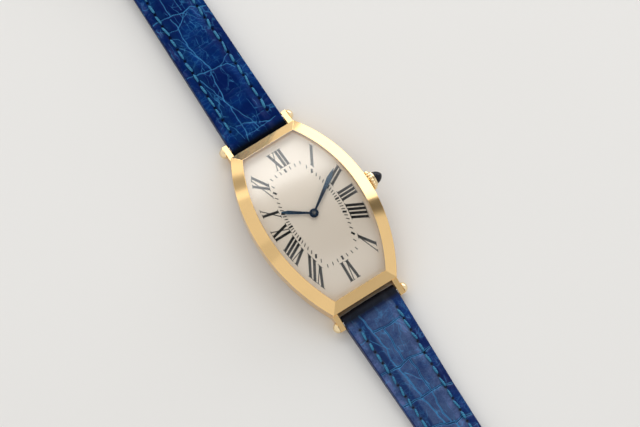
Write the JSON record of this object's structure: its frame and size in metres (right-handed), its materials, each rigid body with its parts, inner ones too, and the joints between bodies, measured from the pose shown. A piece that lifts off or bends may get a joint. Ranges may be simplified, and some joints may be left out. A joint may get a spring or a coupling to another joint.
{
  "type": "tonneau wristwatch",
  "caption": "Curved tonneau wristwatch in yellow gold with an ivory dial, blued hands, a hand-wound movement and a blue leather strap with a pin buckle.",
  "frame": {"origin": "centre of the case back's outer face, on the hands' axis", "axes": "+Z out through the dial, +Y towards 12 o'clock, +X towards the crown"},
  "size_m": [0.0295, 0.2446, 0.0102],
  "materials": {
    "gold": "polished yellow gold",
    "crystal": "clear curved watch glass",
    "gasket": "clear sealing ring",
    "dial": "satin silvered ivory",
    "blued_steel": "heat-blued polished steel",
    "plate_metal": "plated and striped",
    "wheel_brass": "gilt wheels",
    "steel": "polished steel",
    "cabochon": "near-black polished stone",
    "blue_leather": "glossy blue alligator grain",
    "lining_leather": "smooth dark lining"
  },
  "bodies": {
    "root": {"case_middle": "gold", "bezel": "gold", "crystal": "crystal", "crystal_gasket": "gasket", "case_back": "gold", "case_back_gasket": "gasket", "case_back_screws": "gold", "crown_tube": "gold", "dial": "dial", "movement_ring": "plate_metal", "main_plate": "plate_metal", "barrel_bridge": "plate_metal", "train_bridge": "plate_metal", "balance_cock": "plate_metal", "pallet_cock": "plate_metal", "bridge_screws": "steel", "hairspring": "steel", "strap_bar_12": "steel", "strap_bar_6": "steel", "bar_screws": "gold"},
    "minute_train": {"minute_hand": "blued_steel", "cannon_pinion": "steel", "centre_wheel": "wheel_brass"},
    "hour_train": {"hour_hand": "blued_steel", "hour_wheel": "wheel_brass"},
    "minute_wheel_body": {"minute_wheel": "wheel_brass"},
    "barrel_body": {"barrel": "wheel_brass"},
    "third_wheel_body": {"third_wheel": "wheel_brass"},
    "fourth_wheel_body": {"fourth_wheel": "wheel_brass"},
    "escape_wheel_body": {"escape_wheel": "wheel_brass"},
    "pallet_body": {"pallet_fork": "steel"},
    "balance_body": {"balance_wheel": "wheel_brass"},
    "winding_body": {"winding_pinion": "steel"},
    "crown_body": {"winding_stem": "steel", "crown": "gold", "crown_cabochon": "cabochon"},
    "clutch_body": {"sliding_clutch": "steel"},
    "crown_wheel_body": {"crown_wheel": "steel"},
    "ratchet_body": {"ratchet_wheel": "steel"},
    "click_body": {"click": "steel"},
    "strap_12": {"strap_12_leather": "blue_leather", "strap_12_lining": "lining_leather", "fixed_keeper": "blue_leather"},
    "keeper_body": {"sliding_keeper": "blue_leather"},
    "buckle": {"buckle_frame": "gold", "buckle_bar": "gold"},
    "tongue": {"buckle_tongue": "gold"},
    "strap_6": {"strap_6_leather": "blue_leather", "strap_6_lining": "lining_leather"}
  },
  "joints": [
    {"name": "minute_turn", "type": "hinge", "parent": "root", "child": "minute_train", "pos_m": [0, 0, 0], "axis": [0, 0, -1], "continuous": true},
    {"name": "hour_turn", "type": "hinge", "parent": "root", "child": "hour_train", "pos_m": [0, 0, 0], "axis": [0, 0, -1], "continuous": true},
    {"name": "minute_wheel_turn", "type": "hinge", "parent": "root", "child": "minute_wheel_body", "pos_m": [-0.00226, -0.00082, 0.00145], "axis": [0, 0, -1], "continuous": true},
    {"name": "barrel_turn", "type": "hinge", "parent": "root", "child": "barrel_body", "pos_m": [0.00201, 0.00298, 0.00145], "axis": [0, 0, -1], "continuous": true},
    {"name": "third_wheel_turn", "type": "hinge", "parent": "root", "child": "third_wheel_body", "pos_m": [-0.00294, 0.0017, 0.00145], "axis": [0, 0, -1], "continuous": true},
    {"name": "fourth_wheel_turn", "type": "hinge", "parent": "root", "child": "fourth_wheel_body", "pos_m": [-0.00477, -0.00047, 0.00145], "axis": [0, 0, -1], "continuous": true},
    {"name": "escape_wheel_turn", "type": "hinge", "parent": "root", "child": "escape_wheel_body", "pos_m": [-0.00361, -0.00247, 0.00145], "axis": [0, 0, -1], "continuous": true},
    {"name": "pallet_rock", "type": "hinge", "parent": "root", "child": "pallet_body", "pos_m": [-0.00286, -0.00377, 0.00145], "axis": [0, 0, -1], "range_deg": [-4, 4]},
    {"name": "balance_swing", "type": "hinge", "parent": "root", "child": "balance_body", "pos_m": [-0.001, -0.0056, 0.00145], "axis": [0, 0, -1], "range_deg": [-270, 270]},
    {"name": "crown_turn", "type": "hinge", "parent": "root", "child": "winding_body", "pos_m": [0, 0, 0.00175], "axis": [1, 0, 0], "continuous": true},
    {"name": "crown_pull", "type": "slide", "parent": "winding_body", "child": "crown_body", "axis": [1, 0, 0], "range_m": [0, 0.0008]},
    {"name": "clutch_shift", "type": "slide", "parent": "winding_body", "child": "clutch_body", "axis": [-1, 0, 0], "range_m": [0, 0.0004]},
    {"name": "crown_wheel_turn", "type": "hinge", "parent": "root", "child": "crown_wheel_body", "pos_m": [0.0059, 0.00115, 0.00145], "axis": [0, 0, -1], "continuous": true},
    {"name": "ratchet_turn", "type": "hinge", "parent": "root", "child": "ratchet_body", "pos_m": [0.00201, 0.00298, 0.00145], "axis": [0, 0, -1], "continuous": true},
    {"name": "click_rock", "type": "hinge", "parent": "root", "child": "click_body", "pos_m": [-0.00075, 0.00575, 0.00145], "axis": [0, 0, -1], "range_deg": [0, 8]},
    {"name": "strap_12_swing", "type": "hinge", "parent": "root", "child": "strap_12", "pos_m": [0, 0.02158, -0.00235], "axis": [1, 0, 0], "range_deg": [-78, 45]},
    {"name": "strap_6_swing", "type": "hinge", "parent": "root", "child": "strap_6", "pos_m": [0, -0.02158, -0.00235], "axis": [-1, 0, 0], "range_deg": [-78, 45]},
    {"name": "keeper_slide", "type": "slide", "parent": "strap_12", "child": "keeper_body", "axis": [0, 1, 0], "range_m": [-0.012, 0.008]},
    {"name": "buckle_swing", "type": "hinge", "parent": "strap_12", "child": "buckle", "pos_m": [0, 0.09658, -0.0029], "axis": [1, 0, 0], "range_deg": [-60, 15]},
    {"name": "tongue_swing", "type": "hinge", "parent": "buckle", "child": "tongue", "pos_m": [0, 0.09658, -0.0029], "axis": [1, 0, 0], "range_deg": [0, 95]}
  ],
  "couplings": [
    {"joint": "hour_turn", "follows": "minute_turn", "ratio": 0.083333},
    {"joint": "minute_wheel_turn", "follows": "minute_turn", "ratio": -0.33333},
    {"joint": "barrel_turn", "follows": "minute_turn", "ratio": -0.14286},
    {"joint": "third_wheel_turn", "follows": "minute_turn", "ratio": -7.5},
    {"joint": "fourth_wheel_turn", "follows": "minute_turn", "ratio": 60},
    {"joint": "escape_wheel_turn", "follows": "minute_turn", "ratio": -600},
    {"joint": "crown_wheel_turn", "follows": "crown_turn", "ratio": -0.46875},
    {"joint": "ratchet_turn", "follows": "crown_turn", "ratio": 0.27778},
    {"joint": "clutch_shift", "follows": "crown_pull", "ratio": 0.5}
  ]
}
